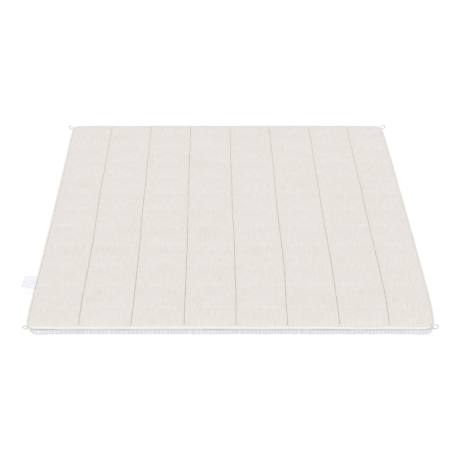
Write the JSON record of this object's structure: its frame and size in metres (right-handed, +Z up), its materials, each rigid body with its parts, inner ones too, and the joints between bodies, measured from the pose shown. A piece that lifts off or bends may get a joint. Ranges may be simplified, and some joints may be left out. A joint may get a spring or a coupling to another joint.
{
  "type": "weighted blanket",
  "caption": "Flat quilted weighted blanket with a natural woven top, a white plush underside, piped edges, a cord loop at each corner and a blank side label.",
  "frame": {"origin": "on the surface that the blanket lies on, under the middle of the blanket with its label and loops", "axes": "+X towards the blanket's right side, away from the side with the label; +Y towards its far end, along its length; +Z up, out of the woven top"},
  "size_m": [1.4118, 2.0055, 0.0406],
  "materials": {
    "natural_weave": "plain woven undyed cloth, matt",
    "white_plush": "short ribbed pile, soft and matt",
    "cream_piping": "cloth-covered cord, matt",
    "ecru_cord": "twisted cotton cord, matt",
    "white_satin": "satin ribbon, slightly shiny, blank"
  },
  "bodies": {
    "root": {"quilted_top": "natural_weave", "plush_underside": "white_plush", "piping": "cream_piping", "corner_loop_front_left": "ecru_cord", "corner_loop_front_right": "ecru_cord", "corner_loop_back_left": "ecru_cord", "corner_loop_back_right": "ecru_cord", "side_label": "white_satin"}
  },
  "joints": []
}
